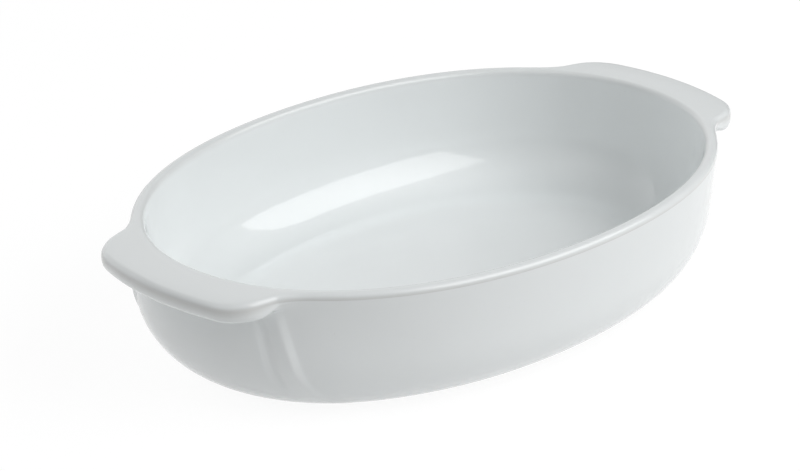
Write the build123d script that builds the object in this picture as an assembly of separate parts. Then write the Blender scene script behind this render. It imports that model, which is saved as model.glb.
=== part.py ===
"""Oval gratin dish: a deep glazed stoneware dish with a lug handle at each end.

The dish is a bowl with an oval rim, walls that lean in a little towards the foot and a
round turn into a flat floor. Under each handle the end wall stands a little fuller than
the side walls, and a soft groove and ridge mark where the two meet. It stands on a bare
foot ring.

Frame: millimetres, +Z up, origin on the table under the middle of the dish, the long
axis and both handles along X. The left handle is the one on the -X side.
"""
from build123d import *

import os
from math import cos, hypot, radians, sin, sqrt

# Rim and overall height
rim_half_length = 158.0
rim_half_width = 109.0
rim_height = 67.0
# How full the oval is: the pull of each quarter's two curve handles
oval_fullness_share = 0.589

# Walls and floor
wall_thickness = 6.5
floor_thickness = 7.0
lip_round_share = 0.44
side_lean = 7.3
side_turn_reach = 25.6
side_turn_height = 29.0
end_turn_height = 39.0
inner_turn_reach = 28.0
inner_turn_height = 28.0

# Groove and ridge at each side of the two end walls: places out from the long axis at the
# rim, how far they spread by the foot, and the heights over which they fade in and out
shoulder_offset = 35.0
groove_offset = 39.5
ridge_offset = 46.0
ridge_end_offset = 51.5
crease_spread = 7.0
groove_depth = 0.5
ridge_rise = 0.4
crease_fade_in = 4.0
crease_fade_out = 10.0
# Past the ridge: how much of the end wall's fullness is kept, and over how much of the
# side's run it dies away
kept_fullness_share = 0.85
blend_run_share = 0.18

# Handles
handle_reach = 17.0
handle_half_width = 46.0
handle_end_radius = 135.0
handle_corner_radius = 9.0
handle_root_radius = 5.0
handle_flare_share = 0.25
handle_thickness = 7.8
handle_edge_round_share = 0.48
handle_web_radius = 6.0
handle_seat_depth = 1.0
web_sink = 0.4

# Foot ring
foot_height = 1.2
foot_width = 7.0

# How the curves are sampled
straight_steps = 4
turn_steps = 6
web_steps = 3
halvings = 40


def eased(share):
    """A smooth step from 0 to 1 while share goes from 0 to 1."""
    bounded = min(max(share, 0.0), 1.0)
    return bounded * bounded * (3.0 - 2.0 * bounded)


def side_inset(height):
    """How far the side wall stands in from the rim's oval at a height."""
    lean = side_lean * (rim_height - height) / (rim_height - foot_height)
    turn_top = foot_height + side_turn_height
    drop = max(turn_top - height, 0.0) / side_turn_height
    return lean + side_turn_reach * (1.0 - sqrt(max(1.0 - drop * drop, 0.0)))


def end_inset(height):
    """The same for the end wall, which turns in from higher up to the same foot."""
    turn_top = foot_height + end_turn_height
    drop = max(turn_top - height, 0.0) / end_turn_height
    foot_inset = side_lean + side_turn_reach
    return foot_inset * (1.0 - sqrt(max(1.0 - drop * drop, 0.0)))


def between(first, second, share):
    """The place a share of the way from one place to another."""
    return (first[0] + (second[0] - first[0]) * share, first[1] + (second[1] - first[1]) * share)


def split_curve(controls, share):
    """The two parts of a curve of four controls, cut at a share of its run."""
    start, pull, other_pull, end = controls
    first = between(start, pull, share)
    middle = between(pull, other_pull, share)
    last = between(other_pull, end, share)
    first_middle = between(first, middle, share)
    middle_last = between(middle, last, share)
    cut = between(first_middle, middle_last, share)
    return (start, first, first_middle, cut), (cut, middle_last, last, end)


def oval_quarter(half_length, half_width):
    """The controls of the oval's quarter from its long end to its side."""
    pull = oval_fullness_share
    return (
        (half_length, 0.0),
        (half_length, half_width * pull),
        (half_length * pull, half_width),
        (0.0, half_width),
    )


def share_at_width(quarter, width):
    """How far along the quarter it has come out to a given width."""
    low, high = 0.0, 1.0
    for _ in range(halvings):
        middle = (low + high) / 2.0
        _, (cut, *_) = split_curve(quarter, middle)
        if cut[1] < width:
            low = middle
        else:
            high = middle
    return low


def outward(start, towards):
    """The unit direction square to a step, on its right-hand side."""
    run_x = towards[0] - start[0]
    run_y = towards[1] - start[1]
    length = hypot(run_x, run_y)
    return run_y / length, -run_x / length


def offset_pair(pair, at, towards, distance):
    """Two neighbouring controls moved outward together, so the joint stays smooth."""
    out_x, out_y = outward(at, towards)
    return [(x + distance * out_x, y + distance * out_y) for x, y in pair]


def closed_outline(quarter_curves, height):
    """A closed wire from the curves of one quarter, mirrored to the other three."""
    edges = []
    for x_sign, y_sign in ((1, 1), (-1, 1), (-1, -1), (1, -1)):
        curves = quarter_curves
        if x_sign != y_sign:
            curves = [curve[::-1] for curve in reversed(quarter_curves)]
        for curve in curves:
            controls = [Vector(x_sign * x, y_sign * y, height) for x, y in curve]
            edges.append(Edge.make_bezier(*controls))
    return Wire(edges)


def plain_oval(half_length, half_width, height):
    """Closed plain oval at a height."""
    return closed_outline([oval_quarter(half_length, half_width)], height)


def crease_fade(height):
    """How strong the groove and ridge are: none under the handle, nor at the foot."""
    below_handle = eased((rim_height - handle_thickness - height) / crease_fade_in)
    above_foot = eased((height - foot_height) / crease_fade_out)
    return below_handle * above_foot


def outer_outline(height, web=0.0, sink=0.0):
    """Closed outline of the dish's outside at a height.

    The quarter oval is cut at the shoulder, groove, ridge and ridge end and where the end
    wall's fullness has died away, and each cut is moved in or out. A web stands out further
    from the end walls only, and a sink draws all in.
    """
    inset = side_inset(height)
    spread = crease_spread * (rim_height - height) / (rim_height - foot_height)
    fade = crease_fade(height)
    fullness = inset - end_inset(height)
    end = fullness + web
    groove = fullness - groove_depth * fade
    ridge = fullness + ridge_rise * fade
    kept = fullness * kept_fullness_share
    widths = [shoulder_offset, groove_offset, ridge_offset, ridge_end_offset]
    moves = [end, end, groove, ridge, kept, 0.0, 0.0]

    rest = oval_quarter(rim_half_length - inset - sink, rim_half_width - inset - sink)
    pieces = []
    for width in widths:
        piece, rest = split_curve(rest, share_at_width(rest, width + spread))
        pieces.append(piece)
    pieces.extend(split_curve(rest, blend_run_share))

    curves = []
    for piece, start_move, end_move in zip(pieces, moves, moves[1:]):
        start, pull, other_pull, end = piece
        first = offset_pair((start, pull), start, pull, start_move)
        last = offset_pair((other_pull, end), other_pull, end, end_move)
        curves.append((*first, *last))
    return closed_outline(curves, height)


def wall_heights(base, turn_height):
    """Section heights down a wall: even steps, then the turn in even steps of its angle."""
    angles = [radians(90.0 * step / turn_steps) for step in range(turn_steps + 1)]
    turn = [base + turn_height * (1.0 - sin(angle)) for angle in angles]
    straight = rim_height - turn[0]
    return [rim_height - straight * step / straight_steps for step in range(straight_steps)] + turn


def outer_form():
    """The dish's outside as a full solid, with its lip rounded."""
    heights = wall_heights(foot_height, side_turn_height)
    form = Solid.make_loft([outer_outline(height) for height in heights])
    return form.fillet(wall_thickness * lip_round_share, form.edges().group_by(Axis.Z)[-1])


def cavity():
    """The space inside the dish, open at the rim."""
    floor_level = foot_height + floor_thickness
    turn_top = floor_level + inner_turn_height
    sections = []
    for height in wall_heights(floor_level, inner_turn_height):
        lean = side_lean * (rim_height - height) / (rim_height - floor_level)
        drop = max(turn_top - height, 0.0) / inner_turn_height
        inset = wall_thickness + lean
        inset += inner_turn_reach * (1.0 - sqrt(max(1.0 - drop * drop, 0.0)))
        sections.append(plain_oval(rim_half_length - inset, rim_half_width - inset, height))
    return Solid.make_loft(sections)


def dish_body(form):
    """The bowl: the outside less the space inside, with the inner lip rounded."""
    bowl = form.cut(cavity())
    mouth_half_length = rim_half_length - wall_thickness
    top_edges = bowl.edges().group_by(Axis.Z)[-1]
    mouth = top_edges.filter_by_position(Axis.X, -mouth_half_length, mouth_half_length)
    return bowl.fillet(wall_thickness * lip_round_share, mouth)


def handle_plan():
    """The rim's oval with the right handle's lug, as a flat face seen from above."""
    tip = rim_half_length + handle_reach
    arc_rise = sqrt(handle_end_radius**2 - handle_half_width**2)
    corner = tip - (handle_end_radius - arc_rise)
    back = rim_half_length - handle_half_width
    back_half_width = handle_half_width + handle_flare_share * (corner - back)
    end_arc = ThreePointArc(
        (corner, -handle_half_width), (tip, 0.0), (corner, handle_half_width)
    )
    far_side = Line((corner, handle_half_width), (back, back_half_width))
    back_line = Line((back, back_half_width), (back, -back_half_width))
    near_side = Line((back, -back_half_width), (corner, -handle_half_width))
    lug = make_face([*end_arc.edges(), *far_side.edges(), *back_line.edges(), *near_side.edges()])
    lug = fillet(lug.vertices().group_by(Axis.X)[-1], handle_corner_radius)

    seat_half_length = rim_half_length - handle_seat_depth
    seat_half_width = rim_half_width - handle_seat_depth
    rim = make_face(plain_oval(seat_half_length, seat_half_width, 0.0).edges())
    plan = rim + lug
    right_corners = [vertex for vertex in plan.vertices() if vertex.X > handle_half_width]
    roots = ShapeList(right_corners).sort_by(Axis.X)[:2]
    return fillet(roots, handle_root_radius)


def handle_web():
    """The hollow-curved web that carries a handle's underside into the end wall."""
    underside = rim_height - handle_thickness
    sections = []
    for step in range(web_steps + 1):
        angle = radians(90.0 * (1.0 - step / web_steps))
        height = underside - handle_web_radius * (1.0 - sin(angle))
        reach = handle_web_radius * (1.0 - cos(angle))
        sections.append(outer_outline(height, reach, web_sink))
    return Solid.make_loft(sections)


def right_handle(form):
    """A lug handle, flush with the rim, rounded all along its edge and seated on the wall."""
    plate = extrude(handle_plan(), handle_thickness)
    plate = Pos(0.0, 0.0, rim_height - handle_thickness) * plate
    levels = plate.edges().group_by(Axis.Z)
    plate = fillet(levels[0] + levels[-1], handle_thickness * handle_edge_round_share)
    lug = plate.solids()[0].cut(form)
    web = handle_web().cut(form).solids().sort_by(Axis.X)[-1]
    return lug.solids()[0].fuse(web)


def foot_ring():
    """The bare ring that the dish stands on."""
    inset = side_lean + side_turn_reach
    outside = plain_oval(rim_half_length - inset, rim_half_width - inset, 0.0)
    inset += foot_width
    inside = plain_oval(rim_half_length - inset, rim_half_width - inset, 0.0)
    ring = make_face(outside.edges()) - make_face(inside.edges())
    return extrude(ring, foot_height)


def main():
    form = outer_form()
    right = right_handle(form)
    nodes = {
        "dish_body": dish_body(form),
        "left_handle": right.mirror(Plane.YZ),
        "right_handle": right,
        "foot_ring": foot_ring(),
    }
    os.makedirs("parts", exist_ok=True)
    for name, shape in nodes.items():
        export_step(shape, f"parts/{name}.step")
        print(name, shape.is_valid, round(shape.volume), shape.bounding_box())


main()
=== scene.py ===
# %% [markdown]
# # A white stoneware gratin dish
# The dish is an oval bowl with a flat lug at each end, dipped in a white gloss glaze that runs
# over walls, lip and lugs without a seam. It stands on a narrow bare ring of clay. The packed
# model gives every size here, so the script starts by loading it and noting the box it fills.

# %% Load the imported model
import math

import bmesh
import bpy
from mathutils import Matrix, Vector


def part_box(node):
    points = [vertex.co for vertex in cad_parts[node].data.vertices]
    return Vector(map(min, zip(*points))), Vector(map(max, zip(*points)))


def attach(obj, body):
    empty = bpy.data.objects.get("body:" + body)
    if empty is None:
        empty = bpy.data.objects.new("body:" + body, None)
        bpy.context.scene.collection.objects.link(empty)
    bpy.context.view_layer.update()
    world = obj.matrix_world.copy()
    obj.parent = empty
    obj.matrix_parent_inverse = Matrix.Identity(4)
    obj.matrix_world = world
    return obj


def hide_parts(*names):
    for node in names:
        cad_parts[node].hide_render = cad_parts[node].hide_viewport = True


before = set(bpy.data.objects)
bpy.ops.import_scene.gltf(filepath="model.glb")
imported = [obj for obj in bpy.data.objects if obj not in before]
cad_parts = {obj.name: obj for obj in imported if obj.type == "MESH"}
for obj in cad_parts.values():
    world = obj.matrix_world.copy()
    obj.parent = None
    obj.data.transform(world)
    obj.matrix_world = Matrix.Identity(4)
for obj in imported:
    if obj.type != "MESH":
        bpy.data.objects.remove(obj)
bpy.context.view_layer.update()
MM = 0.001

# %% [markdown]
# ## Sizes
# The dish's own box gives the lip's height, the lug's box how far it reaches, and the ring's box
# the height of the foot. What a box can't tell, such as the oval at the rim or the wall's
# thickness, is named here as the potter would measure it.

# %% Sizes of the dish
_, body_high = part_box("dish_body")
_, lug_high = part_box("right_handle")
_, ring_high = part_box("foot_ring")

LIP_HEIGHT = body_high[2]
FOOT_HEIGHT = ring_high[2]
HALF_LENGTH = 158.0 * MM
HALF_WIDTH = 109.0 * MM
OVAL_FULLNESS = 0.589
WALL = 6.5 * MM
FLOOR = 7.0 * MM
LIP_ROUND = 2.2 * MM
LIP_ROLL = 2.9 * MM
SIDE_LEAN = 7.3 * MM
SIDE_TURN_REACH = 25.6 * MM
SIDE_TURN_HEIGHT = 29.0 * MM
END_TURN_HEIGHT = 39.0 * MM
INNER_TURN_REACH = 28.0 * MM
INNER_TURN_HEIGHT = 28.0 * MM
print("lip at", round(LIP_HEIGHT, 4), "lug tip at", round(lug_high[0], 4))

# %% [markdown]
# ## The oval
# A true ellipse looks too pointed for this dish. Its oval is four curves with two handles each,
# and one number, the pull of those handles, sets how full it is. The same number is used at
# every height, and the outline only shrinks by the wall's inset.


# %% Points on the oval
HALVINGS = 32


def oval_point(half_length, half_width, run):
    """Point and outward direction on the first quarter, from the long end (run 0) to the side."""
    rest = 1.0 - run
    pull = OVAL_FULLNESS
    x = half_length * (rest**3 + 3 * rest**2 * run + 3 * rest * run**2 * pull)
    y = half_width * (3 * rest**2 * run * pull + 3 * rest * run**2 + run**3)
    step_x = half_length * (6 * rest * run * (pull - 1) - 3 * run**2 * pull)
    step_y = half_width * (3 * rest**2 * pull + 6 * rest * run * (1 - pull))
    length = math.hypot(step_x, step_y)
    return x, y, step_y / length, -step_x / length


def run_at_width(half_length, half_width, width):
    """The run at which the quarter has come out to a width."""
    low, high = 0.0, 1.0
    for _ in range(HALVINGS):
        middle = (low + high) / 2
        if oval_point(half_length, half_width, middle)[1] < width:
            low = middle
        else:
            high = middle
    return low


def eased(value):
    """A smooth step from 0 to 1."""
    value = min(max(value, 0.0), 1.0)
    return value * value * (3 - 2 * value)


def mix(first, second, share):
    """The value a share of the way from first to second."""
    return first + (second - first) * share


# %% [markdown]
# ## How the walls stand in
# The side wall leans in a little and then turns under in an elliptic curve. The end wall stands
# upright for longer and turns in from higher up, so between the two there is a difference in
# fullness, which the soft groove and ridge under each lug's corner take up.


# %% Insets of the walls
def turn_share(height, base, turn_height):
    """How far a rounded turn has come in at a height, from 0 at its top to 1 at its base."""
    drop = min(max((base + turn_height - height) / turn_height, 0.0), 1.0)
    return 1 - math.sqrt(1 - drop * drop)


def side_inset(height):
    """How far the side wall stands in from the rim's oval."""
    lean = SIDE_LEAN * (LIP_HEIGHT - height) / (LIP_HEIGHT - FOOT_HEIGHT)
    return lean + SIDE_TURN_REACH * turn_share(height, FOOT_HEIGHT, SIDE_TURN_HEIGHT)


def end_inset(height):
    """The same for the end wall."""
    return (SIDE_LEAN + SIDE_TURN_REACH) * turn_share(height, FOOT_HEIGHT, END_TURN_HEIGHT)


def inner_inset(height):
    """The same for the inside of every wall."""
    floor_level = FOOT_HEIGHT + FLOOR
    lean = SIDE_LEAN * (LIP_HEIGHT - height) / (LIP_HEIGHT - floor_level)
    return WALL + lean + INNER_TURN_REACH * turn_share(height, floor_level, INNER_TURN_HEIGHT)


# %% [markdown]
# ## Stations round the dish
# The skin is a net of rings. Each ring has the same number of stations, set close together
# where the groove, the ridge and the lug's corner need them and wide apart along the plain
# sides. They are counted on one quarter and mirrored to the other three.

# %% Stations
SHOULDER = 35.5 * MM
GROOVE = 39.0 * MM
RIDGE = 46.0 * MM
RIDGE_END = 49.8 * MM
CREASE_SPREAD = 9.0 * MM
BLEND_RUN = 0.32
EVEN_PART = 0.75
END_WIDTHS = (SHOULDER * EVEN_PART, SHOULDER, GROOVE, RIDGE, RIDGE_END)
STRETCH_STATIONS = (6, 4, 6, 6, 6, 6, 13)


def quarter_runs(inset, spread):
    """The runs of one quarter's stations on the oval at an inset."""
    half_length = HALF_LENGTH - inset
    half_width = HALF_WIDTH - inset
    ends = [run_at_width(half_length, half_width, width + spread) for width in END_WIDTHS]
    ends += [mix(ends[-1], 1.0, BLEND_RUN), 1.0]
    runs = [0.0]
    for end, count in zip(ends, STRETCH_STATIONS):
        start = runs[-1]
        runs += [mix(start, end, step / count) for step in range(1, count + 1)]
    return runs


RIM_RUNS = quarter_runs(0.0, 0.0)
QUARTER = len(RIM_RUNS) - 1
STATIONS = 4 * QUARTER


def station(index):
    """Quarter signs and the place on the quarter's list for a station, going round once."""
    quarter, step = divmod(index, QUARTER)
    signs = ((1, 1), (-1, 1), (-1, -1), (1, -1))[quarter]
    return signs, (step if quarter % 2 == 0 else QUARTER - step)


print("stations round the dish:", STATIONS)

# %% [markdown]
# ## The lug's outline
# Seen from above, a lug is a wide tongue: its end is a shallow arc, its corners are rounded and
# its flared sides run into the rim with a small hollow curve. A distance to that tongue, blended
# with the distance to the rim, says how far each station's lug reaches, with no corner to fix.

# %% Reach of the lug at a station
LUG_TIP = lug_high[0]
LUG_HALF_WIDTH = 46.0 * MM
LUG_END_RADIUS = 135.0 * MM
LUG_CORNER = 9.0 * MM
LUG_ROOT = 5.0 * MM
LUG_FLARE = 0.25
LUG_SEARCH = 40.0 * MM
LUG_END_RISE = LUG_END_RADIUS - math.sqrt(LUG_END_RADIUS**2 - LUG_HALF_WIDTH**2)


def lug_distance(x, y):
    """Distance to the tongue's outline, less than 0 inside it."""
    end = math.hypot(x - (LUG_TIP - LUG_END_RADIUS), y) - LUG_END_RADIUS
    slope = math.hypot(1.0, LUG_FLARE)
    side = (y - LUG_HALF_WIDTH - LUG_FLARE * (LUG_TIP - LUG_END_RISE - x)) / slope
    past_end = max(end + LUG_CORNER, 0.0)
    past_side = max(side + LUG_CORNER, 0.0)
    return min(max(end, side), -LUG_CORNER) + math.hypot(past_end, past_side)


def joined_distance(out, x, y):
    """Distance to rim and lug together, with the hollow curve between them."""
    lug = lug_distance(x, y)
    near_rim = max(LUG_ROOT - out, 0.0)
    near_lug = max(LUG_ROOT - lug, 0.0)
    return max(min(out, lug), LUG_ROOT) - math.hypot(near_rim, near_lug)


def lug_reach(run):
    """How far the lug stands out from the rim at a run of the oval."""
    x, y, out_x, out_y = oval_point(HALF_LENGTH, HALF_WIDTH, run)
    low, high = 0.0, LUG_SEARCH
    for _ in range(HALVINGS):
        middle = (low + high) / 2
        if joined_distance(middle, x + middle * out_x, y + middle * out_y) < 0:
            low = middle
        else:
            high = middle
    return low


REACHES = [lug_reach(run) for run in RIM_RUNS]
print("lug reach at its middle", round(REACHES[0], 4), "and at most", round(max(REACHES), 4))

# %% [markdown]
# ## Fullness, groove and ridge
# Going round a corner of the dish, the wall's offset from the side wall's oval starts at the end
# wall's fullness, dips into the groove and rises over the ridge. More than half of the fullness
# is kept past the ridge and dies away along the side. Each step is eased, so the glaze flows over
# it, and the groove and ridge fade out under the lug and well above the foot.

# %% Offset of the outer wall
GROOVE_DEPTH = 1.6 * MM
RIDGE_RISE = 0.6 * MM
KEPT_FULLNESS = 0.6
CREASE_FADE_IN = 2.0 * MM
CREASE_END = 10.0 * MM
CREASE_FADE_OUT = 18.0 * MM
LUG_THICKNESS = 9.0 * MM


def wall_offset(step, height):
    """Offset of the outer wall from the side wall's oval at a station of the quarter."""
    fade = eased((LIP_HEIGHT - LUG_THICKNESS - height) / CREASE_FADE_IN)
    fade *= eased((height - CREASE_END) / CREASE_FADE_OUT)
    full = side_inset(height) - end_inset(height)
    groove = full - GROOVE_DEPTH * fade
    ridge = full + RIDGE_RISE * fade
    levels = (full, full, full, groove, ridge, full * KEPT_FULLNESS, 0.0, 0.0)
    for before, after, count in zip(levels, levels[1:], STRETCH_STATIONS):
        if step <= count:
            return mix(before, after, eased(step / count))
        step -= count


# %% [markdown]
# ## One ring of the skin
# A ring is made by extruding the last ring's edges and moving the new vertices to their
# stations. Inner rings are plain ovals. Outer rings add the wall's offset and, near the top,
# the lug: a plain lip and a lug share the same rings, and a share that grows with the lug's
# reach turns one into the other. In the kiln a lug sinks a little, the more the further it
# stands out.


# %% Ring tools
LUG_REACH = LUG_TIP - HALF_LENGTH
LUG_DROOP = 1.2 * MM


def oval_ring(half_length, half_width, height, runs):
    """Places of a plain oval ring."""
    places = []
    for index in range(STATIONS):
        (x_sign, y_sign), step = station(index)
        x, y, _, _ = oval_point(half_length, half_width, runs[step])
        places.append(Vector((x_sign * x, y_sign * y, height)))
    return places


def outer_ring(profile):
    """Places of an outer ring; profile gives out, height and lift (0 on the wall, 1 off it)."""
    quarter = []
    for step in range(QUARTER + 1):
        out, height, lift = profile(REACHES[step])
        droop = LUG_DROOP * lift * min(max(out, 0.0) / LUG_REACH, 1.0) ** 2
        inset = side_inset(height) * (1 - lift)
        spread = CREASE_SPREAD * (LIP_HEIGHT - height) / (LIP_HEIGHT - FOOT_HEIGHT)
        run = quarter_runs(side_inset(height), spread)[step]
        x, y, out_x, out_y = oval_point(HALF_LENGTH - inset, HALF_WIDTH - inset, run)
        out += wall_offset(step, height) * (1 - lift)
        quarter.append((x + out * out_x, y + out * out_y, height - droop))
    places = []
    for index in range(STATIONS):
        (x_sign, y_sign), step = station(index)
        x, y, height = quarter[step]
        places.append(Vector((x_sign * x, y_sign * y, height)))
    return places


def extrude_ring(skin, ring, places):
    """Extrude a ring's edges and move the new vertices to their places."""
    order = {tuple(vertex.co): index for index, vertex in enumerate(ring)}
    edges = [skin.edges.get((ring[index - 1], ring[index])) for index in range(len(ring))]
    grown = bmesh.ops.extrude_edge_only(skin, edges=edges)["geom"]
    new_ring = [None] * len(ring)
    for vertex in grown:
        if isinstance(vertex, bmesh.types.BMVert):
            new_ring[order[tuple(vertex.co)]] = vertex
    for vertex, place in zip(new_ring, places):
        vertex.co = place
    return new_ring


# %% [markdown]
# ## The profile of lip and lug
# From the lip's flat top, a section runs out over the lug, round its full edge, back under it,
# through the hollow web into the wall and down. Where there is no lug, the same rings lie on the
# lip's small round and the wall below it. Between the two the lug starts thin, so that its
# underside rises out of the wall with no step.

# %% Rings of the lip and the lug
LUG_EDGE = 2.8 * MM
WEB = 4.8 * MM
UNDER_DROP = 3.5 * MM
LUG_GROWS_OVER = 12.0 * MM
ROOT_EDGE = 0.6 * MM
SEAM_STEP = 0.5 * MM


def lug_share(reach):
    """How much of a lug a section is: 0 on the plain lip, 1 where the lug is full."""
    return eased(reach / LUG_GROWS_OVER)


def edge_bottom(share):
    """Height of the edge's lower side: thin at the lug's root, and full on the lug."""
    return LIP_HEIGHT - mix(LIP_ROLL + ROOT_EDGE, LUG_THICKNESS, share)


def top_profile(share):
    """On the flat top, from the lip to the start of the edge's round."""

    def profile(reach):
        round_size = mix(LIP_ROLL, LUG_EDGE, lug_share(reach))
        return mix(LIP_ROUND - WALL + SEAM_STEP, reach - round_size, share), LIP_HEIGHT, 1.0

    return profile


def upper_edge_profile(angle):
    """On the round from the top to the edge's outermost line."""

    def profile(reach):
        round_size = mix(LIP_ROLL, LUG_EDGE, lug_share(reach))
        out = reach - round_size * (1 - math.sin(angle))
        return out, LIP_HEIGHT - round_size * (1 - math.cos(angle)), lug_share(reach)

    return profile


def lower_edge_profile(angle):
    """On the fuller round from the outermost line to the underside."""

    def profile(reach):
        share = lug_share(reach)
        start = LIP_HEIGHT - mix(LIP_ROLL, LUG_EDGE, share)
        out = reach - LUG_EDGE * share * (1 - math.cos(angle))
        return out, mix(start, edge_bottom(share), math.sin(angle)), share

    return profile


def under_profile(share_in):
    """On the underside, from the edge in to the web."""

    def profile(reach):
        share = lug_share(reach)
        start = reach - LUG_EDGE * share
        web = WEB * start / (LUG_REACH - LUG_EDGE)
        height = edge_bottom(share) - UNDER_DROP * share_in * (1 - share)
        return mix(start, web, share_in), height, share

    return profile


def web_profile(angle):
    """On the hollow curve from the underside to the wall."""

    def profile(reach):
        share = lug_share(reach)
        start = reach - LUG_EDGE * share
        web = WEB * start / (LUG_REACH - LUG_EDGE)
        top = edge_bottom(share) - UNDER_DROP * (1 - share)
        bottom = LIP_HEIGHT - LUG_THICKNESS - WEB
        out = web * (1 - math.sin(angle))
        return out, mix(top, bottom, 1 - math.cos(angle)), share * math.cos(angle)

    return profile


def wall_profile(height):
    """On the wall below lip and lug."""
    return lambda reach: (0.0, height, 0.0)


def lug_blend_share(plain, on_lug):
    """A colour share of the glaze: one value along the plain lip and another on the lugs."""
    return lambda reach: mix(plain, on_lug, lug_share(reach))


# %% [markdown]
# ## The glaze on the dish
# The glaze coats bowl and lugs without a break, so one smooth skin is made for all three and cut
# into pieces afterwards. Each ring also carries two colour shares. One greys a narrow line along
# the edges of lip and lug, where the glaze runs thin, and is also painted shade for the dark line
# that lies along them. The other makes the glaze a trace darker and bluer towards the edge of the
# floor, in its low turn and in the web.

# %% Rings of the whole skin
FLOOR_LEVEL = FOOT_HEIGHT + FLOOR
FLOOR_HALF_LENGTH = HALF_LENGTH - inner_inset(FLOOR_LEVEL)
FLOOR_HALF_WIDTH = HALF_WIDTH - inner_inset(FLOOR_LEVEL)
ON_BOWL, ON_LUG = False, True
# Strength on the inner lip and narrowness of the grey edge line: thin glaze and painted shade
INNER_LIP_THIN_AND_SHADE = 0.3
THIN_AND_SHADE_FOCUS = 12.0
FLOOR_SHARES = (0.12, 0.4, 0.7, 0.9, 1.0)
TURN_RINGS = 9
INNER_WALL_RINGS = 4
LIP_RINGS = 3
TOP_SHARES = (0.25, 0.5, 0.75, 1.0)
EDGE_RINGS = 6
UNDER_SHARES = (0.33, 0.67, 1.0)
WEB_RINGS = 4
OUTER_WALL_RINGS = 5
BASE_SHARES = (0.93, 0.7, 0.35, 0.1)
# Shares of the darker, bluer tone towards the floor's edge and in the web
HOLLOW_TONE_ON_FLOOR = 0.4
HOLLOW_TONE_IN_WEB = 0.5
LEVEL = lug_blend_share(0.0, 0.0)


def turn_angles(count):
    """Equal steps of a quarter turn, without its start."""
    return [math.pi / 2 * step / count for step in range(1, count + 1)]


def turn_height(base, height, angle):
    """Height on a turn after an angle from its base."""
    return base + height * (1 - math.cos(angle))


def floor_and_wall_rings():
    """Rings from the floor's middle up the inside, each with lug, edge-line and hollow-tone shares.
    """
    for share in FLOOR_SHARES:
        length, width = FLOOR_HALF_LENGTH * share, FLOOR_HALF_WIDTH * share
        hollow_share = HOLLOW_TONE_ON_FLOOR * share
        yield oval_ring(length, width, FLOOR_LEVEL, RIM_RUNS), ON_BOWL, LEVEL, lug_blend_share(hollow_share, hollow_share)
    lip_start = LIP_HEIGHT - LIP_ROUND
    turns = turn_angles(TURN_RINGS)
    heights = [turn_height(FLOOR_LEVEL, INNER_TURN_HEIGHT, angle) for angle in turns]
    hollow_tone = [math.cos(angle) for angle in turns]
    turn_top = heights[-1]
    for step in range(1, INNER_WALL_RINGS + 1):
        heights.append(mix(turn_top, lip_start, step / INNER_WALL_RINGS))
        hollow_tone.append(0.0)
    for height, share in zip(heights, hollow_tone):
        inset = inner_inset(height)
        length, width = HALF_LENGTH - inset, HALF_WIDTH - inset
        hollow_share = lug_blend_share(share, share)
        yield oval_ring(length, width, height, RIM_RUNS), ON_BOWL, LEVEL, hollow_share
    for angle in turn_angles(LIP_RINGS):
        inset = WALL - LIP_ROUND * (1 - math.cos(angle))
        height = lip_start + LIP_ROUND * math.sin(angle)
        length, width = HALF_LENGTH - inset, HALF_WIDTH - inset
        # Grey line on the inner lip's round: thin glaze, and painted shade along the edge
        thin_and_shade = INNER_LIP_THIN_AND_SHADE * math.sin(2 * angle)
        yield oval_ring(length, width, height, RIM_RUNS), ON_BOWL, lug_blend_share(thin_and_shade, thin_and_shade), LEVEL


def lug_rings():
    """Rings over the top, round the edge, back under the lug and down its web."""
    for share in TOP_SHARES:
        yield outer_ring(top_profile(share)), ON_LUG, LEVEL, LEVEL
    for angle in turn_angles(EDGE_RINGS):
        # Grey line round the edge's outermost curve: thin glaze, and painted shade for the dark line
        # there
        thin_and_shade = math.sin(angle) ** THIN_AND_SHADE_FOCUS
        yield outer_ring(upper_edge_profile(angle)), ON_LUG, lug_blend_share(thin_and_shade, thin_and_shade), LEVEL
    for angle in turn_angles(EDGE_RINGS):
        thin_and_shade = lug_blend_share(0.0, math.cos(angle) ** THIN_AND_SHADE_FOCUS)
        yield outer_ring(lower_edge_profile(angle)), ON_LUG, thin_and_shade, LEVEL
    for share in UNDER_SHARES:
        yield outer_ring(under_profile(share)), ON_LUG, LEVEL, lug_blend_share(0.0, HOLLOW_TONE_IN_WEB * share)
    for angle in turn_angles(WEB_RINGS):
        hollow_share = lug_blend_share(0.0, mix(1.0, HOLLOW_TONE_IN_WEB, math.sin(angle)) * math.cos(angle))
        yield outer_ring(web_profile(angle)), ON_LUG, LEVEL, hollow_share


def outside_rings():
    """Rings down the outer wall and in under the dish."""
    web_end = LIP_HEIGHT - LUG_THICKNESS - WEB
    turn_top = FOOT_HEIGHT + SIDE_TURN_HEIGHT
    heights = []
    for step in range(1, OUTER_WALL_RINGS + 1):
        heights.append(mix(web_end, turn_top, step / OUTER_WALL_RINGS))
    turns = [0.0] + turn_angles(TURN_RINGS)[:-1]
    heights += [turn_height(FOOT_HEIGHT, SIDE_TURN_HEIGHT, angle) for angle in reversed(turns)]
    for height in heights:
        yield outer_ring(wall_profile(height)), ON_BOWL, LEVEL, LEVEL
    foot_inset = side_inset(FOOT_HEIGHT)
    foot_runs = quarter_runs(foot_inset, CREASE_SPREAD)
    for share in BASE_SHARES:
        length = (HALF_LENGTH - foot_inset) * share
        width = (HALF_WIDTH - foot_inset) * share
        yield oval_ring(length, width, FOOT_HEIGHT, foot_runs), ON_BOWL, LEVEL, LEVEL


# %% [markdown]
# ## Growing the skin
# A disc with a middle vertex starts the floor, and each ring is extruded from the last. Every
# face is marked with the piece it will belong to, and the two seams of the lugs are marked on
# their vertices, so that both marks are still there after the smoothing.

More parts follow.
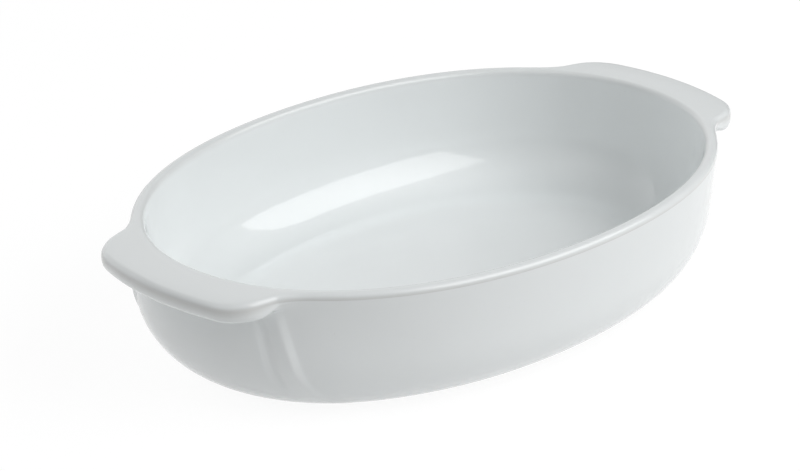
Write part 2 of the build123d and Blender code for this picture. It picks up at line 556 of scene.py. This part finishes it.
# %% Extrude the skin ring by ring
BOWL_MARK, RIGHT_MARK, LEFT_MARK, CAP_MARK = 0, 1, 2, 3
UPPER_SEAM, LOWER_SEAM = 1.0, 2.0
SEAM_TOLERANCE = 0.001
NO_LUG = 0.01 * MM
SMOOTH_LEVELS = 1


def piece_mark(index, on_lug):
    """The piece that a skin face belongs to, from its station and whether it is on a lug."""
    signs, step = station(index)
    _, last_step = station(index - 1 if index else STATIONS - 1)
    if not on_lug or max(REACHES[step], REACHES[last_step]) < NO_LUG:
        return BOWL_MARK
    return RIGHT_MARK if signs[0] > 0 else LEFT_MARK


def set_ring(skin, ring, thin_and_shade, hollow_tone, seam):
    """Note on a ring's vertices its edge-line and hollow-tone shares and which seam they are on."""
    layers = skin.verts.layers.float
    for index, vertex in enumerate(ring):
        _, step = station(index)
        vertex[layers["glaze_thin_and_edge_shade"]] = thin_and_shade(REACHES[step])
        vertex[layers["glaze_hollow_tone"]] = hollow_tone(REACHES[step])
        vertex[layers["seam"]] = seam


def angle_round(vertex):
    """A vertex's angle round the dish, from 0 to a full turn."""
    return math.atan2(vertex.co.y, vertex.co.x) % (2 * math.pi)


def start_disc(skin, places):
    """The floor's first disc, its rim sorted by angle and moved to the first ring's places."""
    bmesh.ops.create_circle(skin, segments=STATIONS, radius=1.0, cap_ends=True, cap_tris=True)
    rim = [vertex for vertex in skin.verts if vertex.co.length > 0.5]
    rim.sort(key=angle_round)
    for vertex in skin.verts:
        vertex.co.z = FLOOR_LEVEL
    for vertex, place in zip(rim, places):
        vertex.co = place
    return rim


def whole_skin():
    """The unsmoothed skin from the floor's middle, over lip and lugs, to the base's middle."""
    skin = bmesh.new()
    for name in ("glaze_thin_and_edge_shade", "glaze_hollow_tone", "seam"):
        skin.verts.layers.float.new(name)
    rings = [*floor_and_wall_rings(), (outer_ring(top_profile(0.0)), ON_BOWL, LEVEL, LEVEL)]
    upper_seam = len(rings) - 1
    rings += lug_rings()
    lower_seam = len(rings) - 1
    rings += outside_rings()
    ring = start_disc(skin, rings[0][0])
    for number, (places, on_lug, thin_and_shade, hollow_tone) in enumerate(rings[1:], start=1):
        ring = extrude_ring(skin, ring, places)
        seam = {upper_seam: UPPER_SEAM, lower_seam: LOWER_SEAM}.get(number, 0.0)
        set_ring(skin, ring, thin_and_shade, hollow_tone, seam)
        for index in range(STATIONS):
            edge = skin.edges.get((ring[index - 1], ring[index]))
            edge.link_faces[0].material_index = piece_mark(index, on_lug)
    edges = [skin.edges.get((ring[index - 1], ring[index])) for index in range(STATIONS)]
    bmesh.ops.poke(skin, faces=bmesh.ops.contextual_create(skin, geom=edges)["faces"])
    bmesh.ops.recalc_face_normals(skin, faces=skin.faces)
    print("skin:", len(rings), "rings,", len(skin.faces), "faces")
    mesh = bpy.data.meshes.new("whole_skin")
    skin.to_mesh(mesh)
    skin.free()
    return mesh


def smoothed(mesh, levels):
    """The mesh after a Subdivision Surface, as a new mesh with no modifier left."""
    holder = bpy.data.objects.new("smoothing_holder", mesh)
    bpy.context.scene.collection.objects.link(holder)
    smoothing = holder.modifiers.new("smooth_skin", "SUBSURF")
    smoothing.levels = levels
    smoothing.render_levels = levels
    state = bpy.context.evaluated_depsgraph_get()
    seen = holder.evaluated_get(state)
    result = bpy.data.meshes.new_from_object(seen, preserve_all_data_layers=True, depsgraph=state)
    print("kept on the smooth skin:", [kept.name for kept in result.attributes])
    bpy.data.objects.remove(holder)
    return result


SKIN = smoothed(whole_skin(), SMOOTH_LEVELS)
SKIN_NORMALS = {tuple(vertex.co): tuple(vertex.normal) for vertex in SKIN.vertices}
print("smooth skin:", len(SKIN.polygons), "faces")

# %% [markdown]
# ## Cutting bowl and lugs apart
# Bowl and lugs are separate pieces, so the skin is cut along the seams and each cut is closed
# with a seat: a strip bridged from the upper seam to the lower one, and a small face at each
# end. A cut mesh would shade with a crease at its border. So each piece keeps the normals of the
# whole skin, and the joint can't be seen, as under real glaze.


# %% Cut the pieces out of the skin
def seam_edges(piece, seam, x_sign):
    """The border edges that lie on one seam of the lug on one side."""
    layer = piece.verts.layers.float["seam"]
    chosen = []
    for edge in piece.edges:
        on_seam = all(abs(vertex[layer] - seam) < SEAM_TOLERANCE for vertex in edge.verts)
        if edge.is_boundary and on_seam and edge.verts[0].co.x * x_sign > 0:
            chosen.append(edge)
    return chosen


def close_seat(piece, x_sign):
    """Close the cut towards one lug with a bridged seat and a face at each end of it."""
    edges = seam_edges(piece, UPPER_SEAM, x_sign) + seam_edges(piece, LOWER_SEAM, x_sign)
    caps = bmesh.ops.bridge_loops(piece, edges=edges)["faces"]
    for edge in edges:
        assert len(edge.link_faces) == 2, "a seam edge is still open"
    ends = [edge for edge in piece.edges if edge.is_boundary and edge.verts[0].co.x * x_sign > 0]
    caps += bmesh.ops.holes_fill(piece, edges=ends, sides=0)["faces"]
    for face in caps:
        face.material_index = CAP_MARK


def keep_skin_normals(mesh):
    """Give the mesh the whole skin's normals, and its hidden caps their own flat ones."""
    normals = []
    for polygon in mesh.polygons:
        flat = polygon.material_index == CAP_MARK
        for index in polygon.vertices:
            own = tuple(polygon.normal)
            normals.append(own if flat else SKIN_NORMALS[tuple(mesh.vertices[index].co)])
    mesh.polygons.foreach_set("use_smooth", [True] * len(mesh.polygons))
    mesh.normals_split_custom_set(normals)
    mesh.polygons.foreach_set("material_index", [0] * len(mesh.polygons))


def cut_piece(name, mark, x_signs):
    """The skin's faces with one mark as a closed mesh, with a seat towards each lug cut off."""
    piece = bmesh.new()
    piece.from_mesh(SKIN)
    others = [face for face in piece.faces if face.material_index != mark]
    bmesh.ops.delete(piece, geom=others, context="FACES")
    for x_sign in x_signs:
        close_seat(piece, x_sign)
    open_edges = sum(edge.is_boundary for edge in piece.edges)
    mesh = bpy.data.meshes.new(name)
    piece.to_mesh(mesh)
    piece.free()
    keep_skin_normals(mesh)
    print(name, len(mesh.polygons), "faces, open edges:", open_edges)
    return mesh


def add_piece(name, mesh, node):
    """A piece at the origin that stands for a node and rides on the one body."""
    piece = bpy.data.objects.new(name, mesh)
    bpy.context.scene.collection.objects.link(piece)
    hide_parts(node)
    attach(piece, "root")
    return piece


bowl = add_piece("glazed_bowl", cut_piece("glazed_bowl", BOWL_MARK, (1, -1)), "dish_body")
right_lug = add_piece("right_lug", cut_piece("right_lug", RIGHT_MARK, (1,)), "right_handle")
left_lug = add_piece("left_lug", cut_piece("left_lug", LEFT_MARK, (-1,)), "left_handle")

# %% [markdown]
# ## The bare foot ring
# The potter wipes the foot clean, or the glaze would stick the dish to the kiln shelf. The ring
# is a flat band with worn, rounded lower edges. It grows from its inner top edge, ring by ring,
# and the last ring is bridged back to the first.

# %% Foot ring
RING_WIDTH = 7.0 * MM
RING_ROUND = 0.7 * MM
RING_ROUND_STEPS = 3


def ring_section():
    """Inset from the foot's outline and height of each point of the ring's section."""
    low = RING_ROUND
    section = [(RING_WIDTH, FOOT_HEIGHT), (RING_WIDTH, low)]
    for angle in turn_angles(RING_ROUND_STEPS):
        section.append((RING_WIDTH - low * (1 - math.cos(angle)), low * (1 - math.sin(angle))))
    section.append((RING_WIDTH / 2, 0.0))
    for angle in reversed([0.0] + turn_angles(RING_ROUND_STEPS)):
        section.append((low * (1 - math.cos(angle)), low * (1 - math.sin(angle))))
    section.append((0.0, FOOT_HEIGHT))
    return section


def make_foot_ring():
    """The closed band of the foot ring, grown ring by ring round its section."""
    foot_inset = side_inset(FOOT_HEIGHT)
    runs = quarter_runs(foot_inset, CREASE_SPREAD)
    rings = []
    for inset, height in ring_section():
        inset += foot_inset
        rings.append(oval_ring(HALF_LENGTH - inset, HALF_WIDTH - inset, height, runs))
    band = bmesh.new()
    bmesh.ops.create_circle(band, segments=STATIONS, radius=1.0)
    ring = sorted(band.verts, key=angle_round)
    for vertex, place in zip(ring, rings[0]):
        vertex.co = place
    for places in rings[1:]:
        ring = extrude_ring(band, ring, places)
    bmesh.ops.bridge_loops(band, edges=[edge for edge in band.edges if edge.is_boundary])
    bmesh.ops.recalc_face_normals(band, faces=band.faces)
    for face in band.faces:
        face.smooth = True
    print("foot ring:", len(band.faces), "faces")
    mesh = bpy.data.meshes.new("bare_foot")
    band.to_mesh(mesh)
    band.free()
    return mesh


foot = add_piece("bare_foot", make_foot_ring(), "foot_ring")

# %% [markdown]
# ## What the kiln leaves behind
# Glaze and clay both carry marks of the firing: soft clouds of tone, and fine specks where
# something burnt out. Both materials need them at their own scale, so the marks are one node
# group with named inputs, used twice.

# %% Kiln marks group
CLOUD_DETAIL = 3.0
RIPPLE_DETAIL = 1.0
RIPPLES_PER_CLOUD = 4.0


def make_kiln_marks():
    """The node group: clouds, specks and a ripple, all on Object coordinates."""
    group = bpy.data.node_groups.new("kiln_marks", "ShaderNodeTree")
    for name, value in (("Cloud Scale", 20.0), ("Speck Scale", 600.0), ("Speck Share", 0.1)):
        socket = group.interface.new_socket(name, in_out="INPUT", socket_type="NodeSocketFloat")
        socket.default_value = value
    for name in ("Clouds", "Specks", "Ripple"):
        group.interface.new_socket(name, in_out="OUTPUT", socket_type="NodeSocketFloat")
    nodes, links = group.nodes, group.links
    inside = nodes.new("NodeGroupInput")
    outside = nodes.new("NodeGroupOutput")
    place = nodes.new("ShaderNodeTexCoord")

    clouds = nodes.new("ShaderNodeTexNoise")
    clouds.inputs["Detail"].default_value = CLOUD_DETAIL
    links.new(place.outputs["Object"], clouds.inputs["Vector"])
    links.new(inside.outputs["Cloud Scale"], clouds.inputs["Scale"])
    links.new(clouds.outputs["Fac"], outside.inputs["Clouds"])

    specks = nodes.new("ShaderNodeTexVoronoi")
    links.new(place.outputs["Object"], specks.inputs["Vector"])
    links.new(inside.outputs["Speck Scale"], specks.inputs["Scale"])
    near_speck = nodes.new("ShaderNodeMath")
    near_speck.operation = "LESS_THAN"
    links.new(specks.outputs["Distance"], near_speck.inputs[0])
    links.new(inside.outputs["Speck Share"], near_speck.inputs[1])
    links.new(near_speck.outputs[0], outside.inputs["Specks"])

    ripple_scale = nodes.new("ShaderNodeMath")
    ripple_scale.operation = "MULTIPLY"
    ripple_scale.inputs[1].default_value = RIPPLES_PER_CLOUD
    links.new(inside.outputs["Cloud Scale"], ripple_scale.inputs[0])
    ripple = nodes.new("ShaderNodeTexNoise")
    ripple.inputs["Detail"].default_value = RIPPLE_DETAIL
    links.new(place.outputs["Object"], ripple.inputs["Vector"])
    links.new(ripple_scale.outputs[0], ripple.inputs["Scale"])
    links.new(ripple.outputs["Fac"], outside.inputs["Ripple"])
    print("kiln marks:", len(nodes), "nodes")
    return group


KILN_MARKS = make_kiln_marks()


def add_marks(material, cloud_scale, speck_scale, speck_share):
    """Place the kiln marks in a material with its own scales."""
    marks = material.node_tree.nodes.new("ShaderNodeGroup")
    marks.node_tree = KILN_MARKS
    marks.inputs["Cloud Scale"].default_value = cloud_scale
    marks.inputs["Speck Scale"].default_value = speck_scale
    marks.inputs["Speck Share"].default_value = speck_share
    return marks


def scaled(material, source, low, high):
    """A 0 to 1 value stretched to run from low to high."""
    stretch = material.node_tree.nodes.new("ShaderNodeMapRange")
    stretch.inputs["To Min"].default_value = low
    stretch.inputs["To Max"].default_value = high
    material.node_tree.links.new(source, stretch.inputs["Value"])
    return stretch.outputs["Result"]


def mixed(material, share, first, second):
    """Two colours mixed by a share; the first may be a colour or another node's output."""
    blend = material.node_tree.nodes.new("ShaderNodeMix")
    blend.data_type = "RGBA"
    links = material.node_tree.links
    links.new(share, blend.inputs["Factor"])
    if isinstance(first, tuple):
        blend.inputs["A"].default_value = (*first, 1.0)
    else:
        links.new(first, blend.inputs["A"])
    blend.inputs["B"].default_value = (*second, 1.0)
    return blend.outputs["Result"]


def bumped(material, height, distance, strength):
    """A bump from a 0 to 1 height, its distance the relief in metres."""
    bump = material.node_tree.nodes.new("ShaderNodeBump")
    bump.inputs["Distance"].default_value = distance
    bump.inputs["Strength"].default_value = strength
    material.node_tree.links.new(height, bump.inputs["Height"])
    return bump.outputs["Normal"]


# %% [markdown]
# ## The white glaze
# A white gloss glaze is almost one colour, and what tells it from plastic is small. It is greyer
# along the edges, where it has run thin, and that grey line is also painted shade for the dark line
# along them. It is a trace darker and bluer in the floor's turn and in the web, and its surface is
# never quite level, so a reflection's border wavers.

# %% Glaze material
GLAZE_WHITE = (0.88, 0.91, 0.914)
GLAZE_CLOUD = (0.855, 0.885, 0.889)
# The grey of the edge line: glaze run thin, and painted shade for the dark line along the edges
GLAZE_THIN_AND_EDGE_SHADE = (0.68, 0.69, 0.68)
# A darker, bluer tone for the floor's turn and the web
GLAZE_HOLLOW_TONE = (0.85, 0.895, 0.90)
GLAZE_SPECK = (0.55, 0.53, 0.50)
GLAZE_IOR = 1.5
GLAZE_ROUGHNESS = (0.03, 0.075)
HOLLOW_TONE_STRENGTH = 0.6
THIN_AND_SHADE_STRENGTH = 0.85
SPECK_STRENGTH = 0.18
GLAZE_WAVE = 0.25 * MM
GLAZE_WAVE_STRENGTH = 0.35


def reading(material, attribute):
    """The value that the skin carries under a name."""
    node = material.node_tree.nodes.new("ShaderNodeAttribute")
    node.attribute_name = attribute
    return node.outputs["Fac"]


def make_glaze():
    """The glaze: cloud, hollow, edge-line and speck tones one over the other, gloss and waviness."""
    glaze = bpy.data.materials.new("white_glaze")
    glaze.use_nodes = True
    links = glaze.node_tree.links
    shader = glaze.node_tree.nodes["Principled BSDF"]
    shader.inputs["IOR"].default_value = GLAZE_IOR
    marks = add_marks(glaze, cloud_scale=22.0, speck_scale=230.0, speck_share=0.045)
    colour = mixed(glaze, marks.outputs["Clouds"], GLAZE_CLOUD, GLAZE_WHITE)
    # A trace darker and bluer towards the floor's edge, in its turn and in the web
    hollow_tone = scaled(glaze, reading(glaze, "glaze_hollow_tone"), 0.0, HOLLOW_TONE_STRENGTH)
    colour = mixed(glaze, hollow_tone, colour, GLAZE_HOLLOW_TONE)
    # The edge line: glaze run thin, and painted shade along the edges of lip and lug
    thin_and_shade = scaled(glaze, reading(glaze, "glaze_thin_and_edge_shade"), 0.0, THIN_AND_SHADE_STRENGTH)
    colour = mixed(glaze, thin_and_shade, colour, GLAZE_THIN_AND_EDGE_SHADE)
    specks = scaled(glaze, marks.outputs["Specks"], 0.0, SPECK_STRENGTH)
    colour = mixed(glaze, specks, colour, GLAZE_SPECK)
    links.new(colour, shader.inputs["Base Color"])
    links.new(scaled(glaze, marks.outputs["Clouds"], *GLAZE_ROUGHNESS), shader.inputs["Roughness"])
    wave = bumped(glaze, marks.outputs["Ripple"], GLAZE_WAVE, GLAZE_WAVE_STRENGTH)
    links.new(wave, shader.inputs["Normal"])
    print("glaze:", len(glaze.node_tree.nodes), "nodes")
    return glaze


glaze = make_glaze()
for piece in (bowl, right_lug, left_lug):
    piece.data.materials.append(glaze)

# %% [markdown]
# ## The bare clay
# Wiped stoneware fires to a sandy buff, paler in places. It is dry and rough, with dark grains
# of iron, and its relief is a matter of tenths of a millimetre.

# %% Clay material
CLAY_BUFF = (0.62, 0.54, 0.44)
CLAY_PALE = (0.72, 0.66, 0.57)
CLAY_GRAIN = (0.33, 0.25, 0.18)
CLAY_ROUGHNESS = (0.7, 0.95)
GRAIN_STRENGTH = 0.7
CLAY_RELIEF = 0.2 * MM
CLAY_RELIEF_STRENGTH = 0.8


def make_clay():
    """The clay: two buffs in clouds, dark grains, and a dry, gritty face."""
    clay = bpy.data.materials.new("bare_clay")
    clay.use_nodes = True
    links = clay.node_tree.links
    shader = clay.node_tree.nodes["Principled BSDF"]
    marks = add_marks(clay, cloud_scale=90.0, speck_scale=900.0, speck_share=0.3)
    colour = mixed(clay, marks.outputs["Clouds"], CLAY_BUFF, CLAY_PALE)
    grains = scaled(clay, marks.outputs["Specks"], 0.0, GRAIN_STRENGTH)
    colour = mixed(clay, grains, colour, CLAY_GRAIN)
    links.new(colour, shader.inputs["Base Color"])
    links.new(scaled(clay, marks.outputs["Clouds"], *CLAY_ROUGHNESS), shader.inputs["Roughness"])
    relief = bumped(clay, marks.outputs["Ripple"], CLAY_RELIEF, CLAY_RELIEF_STRENGTH)
    links.new(relief, shader.inputs["Normal"])
    print("clay:", len(clay.node_tree.nodes), "nodes")
    return clay


foot.data.materials.append(make_clay())

# %% [markdown]
# ## The floor and the backdrop
# The dish stands on white paper. Most of what the eye and every reflection see of the paper is
# plain white, and the rest is lit and takes the dish's soft shadow. So the background is white
# with no more light on the dish. Past the paper's edge the world is white as well, but only to
# the eye.

# %% Paper floor
PAPER_WHITE = (0.9, 0.9, 0.9)
PAPER_ROUGHNESS = 0.9
SEEN_WHITE_SHARE = 0.9
SEEN_WHITE = 1.04
FLOOR_RADIUS = 0.8
FLOOR_SIDES = 96
scene = bpy.context.scene
scene.view_settings.view_transform = "Standard"


def math_node(nodes, links, operation, first, second):
    """A Math node fed by a number or an output at each of its two inputs."""
    node = nodes.new("ShaderNodeMath")
    node.operation = operation
    for socket, value in zip(node.inputs, (first, second)):
        if isinstance(value, (int, float)):
            socket.default_value = value
        else:
            links.new(value, socket)
    return node.outputs[0]


def make_paper():
    """Lit white paper, mixed with a white glow for the eye, reflections and clear things."""
    paper = bpy.data.materials.new("white_paper")
    paper.use_nodes = True
    nodes, links = paper.node_tree.nodes, paper.node_tree.links
    lit = nodes["Principled BSDF"]
    lit.inputs["Base Color"].default_value = (*PAPER_WHITE, 1.0)
    lit.inputs["Roughness"].default_value = PAPER_ROUGHNESS
    lit.inputs["Specular IOR Level"].default_value = 0.0
    glow = nodes.new("ShaderNodeEmission")
    glow.inputs["Strength"].default_value = SEEN_WHITE
    path = nodes.new("ShaderNodeLightPath")
    rays = path.outputs
    seen = math_node(nodes, links, "MAXIMUM", rays["Is Camera Ray"], rays["Is Glossy Ray"])
    seen = math_node(nodes, links, "MAXIMUM", seen, rays["Is Transmission Ray"])
    share = math_node(nodes, links, "MULTIPLY", seen, SEEN_WHITE_SHARE)
    blend = nodes.new("ShaderNodeMixShader")
    links.new(share, blend.inputs["Fac"])
    links.new(lit.outputs["BSDF"], blend.inputs[1])
    links.new(glow.outputs["Emission"], blend.inputs[2])
    links.new(blend.outputs["Shader"], nodes["Material Output"].inputs["Surface"])
    return paper


floor = bmesh.new()
bmesh.ops.create_circle(floor, segments=FLOOR_SIDES, radius=FLOOR_RADIUS, cap_ends=True)
floor_mesh = bpy.data.meshes.new("studio_floor")
floor.to_mesh(floor_mesh)
floor.free()
floor_mesh.materials.append(make_paper())
floor_object = bpy.data.objects.new("studio_floor", floor_mesh)
scene.collection.objects.link(floor_object)
print("paper floor:", FLOOR_RADIUS, "m in radius")

# %% [markdown]
# ## The light
# A glazed white form is drawn by broad lights and the dark between them. A wide, soft window
# lights the dish from the front right, high up, and one softbox in the same direction gives the
# pale pane inside the bowl. A weaker light from the left keeps the end wall and the inner wall
# opposite it from going dull. Two low lights behind the dish brighten the flat lip and the tops
# of the lugs. All but the softbox are soft lobes in the world.


# %% World and softbox
def towards(azimuth, elevation):
    """Unit direction from the dish, azimuth counted from +X towards +Y, in degrees."""
    turn, rise = math.radians(azimuth), math.radians(elevation)
    return Vector((math.cos(turn) * math.cos(rise), math.sin(turn) * math.cos(rise), math.sin(rise)))


WINDOW_LIGHT = 1.62
LEFT_LIGHT = 0.9
BACKDROP_LIGHT = 1.55
BACKDROP_EDGE_LIGHT = 1.0
LIGHT_SPREAD = 8.0
WORLD_WHITE = (1.0, 1.0, 1.0, 1.0)
SOFTBOX_DISTANCE = 1.5
SOFTBOX_SIZE = (1.7, 0.9)
SOFTBOX_POWER = 11.6
world = bpy.data.worlds.new("studio_world")
scene.world = world
world.use_nodes = True
nodes, links = world.node_tree.nodes, world.node_tree.links
direction = nodes.new("ShaderNodeTexCoord").outputs["Generated"]


def lobe(middle, spread, strength):
    """Light from round one direction, falling off the faster the greater the spread power."""
    facing = nodes.new("ShaderNodeVectorMath")
    facing.operation = "DOT_PRODUCT"
    facing.inputs[1].default_value = middle
    links.new(direction, facing.inputs[0])
    above = math_node(nodes, links, "MAXIMUM", facing.outputs["Value"], 0.0)
    narrow = math_node(nodes, links, "POWER", above, spread)
    return math_node(nodes, links, "MULTIPLY", narrow, strength)


level = lobe(towards(-60, 48), LIGHT_SPREAD, WINDOW_LIGHT)
for middle, strength in (
    (towards(180, 48), LEFT_LIGHT),
    (towards(110, 14), BACKDROP_LIGHT),
    (towards(68, 14), BACKDROP_EDGE_LIGHT),
):
    level = math_node(nodes, links, "ADD", level, lobe(middle, LIGHT_SPREAD, strength))
to_eye = nodes.new("ShaderNodeLightPath").outputs["Is Camera Ray"]
level = math_node(nodes, links, "MAXIMUM", level, to_eye)
background = nodes["Background"]
background.inputs["Color"].default_value = WORLD_WHITE
links.new(level, background.inputs["Strength"])


def soft_lamp(name, place, size, power):
    """A rectangular softbox that faces the dish."""
    light = bpy.data.lights.new(name, "AREA")
    light.shape = "RECTANGLE"
    light.size, light.size_y = size
    light.energy = power
    lamp = bpy.data.objects.new(name, light)
    lamp.location = place
    lamp.rotation_euler = (-place).to_track_quat("-Z", "Y").to_euler()
    scene.collection.objects.link(lamp)
    return lamp


soft_lamp("key_softbox", towards(-60, 42) * SOFTBOX_DISTANCE, SOFTBOX_SIZE, SOFTBOX_POWER)
print("lights:", len(nodes), "world nodes and one softbox")

# %% [markdown]
# ## The camera
# The photograph was taken from in front of the left lug, well above the rim, with a long lens.

# %% Camera
CAMERA_PLACE = Vector((-0.965, -0.959, 0.641))
CAMERA_TARGET = Vector((-0.0117, 0.0099, 0.0341))
SENSOR_WIDTH = 36.0
LENS = 141.4
camera_data = bpy.data.cameras.new("photo_camera")
camera_data.sensor_width = SENSOR_WIDTH
camera_data.lens = LENS
camera = bpy.data.objects.new("photo_camera", camera_data)
camera.location = CAMERA_PLACE
camera.rotation_euler = (CAMERA_TARGET - CAMERA_PLACE).to_track_quat("-Z", "Y").to_euler()
scene.collection.objects.link(camera)
scene.camera = camera
print("camera", round((CAMERA_TARGET - CAMERA_PLACE).length, 3), "m away")
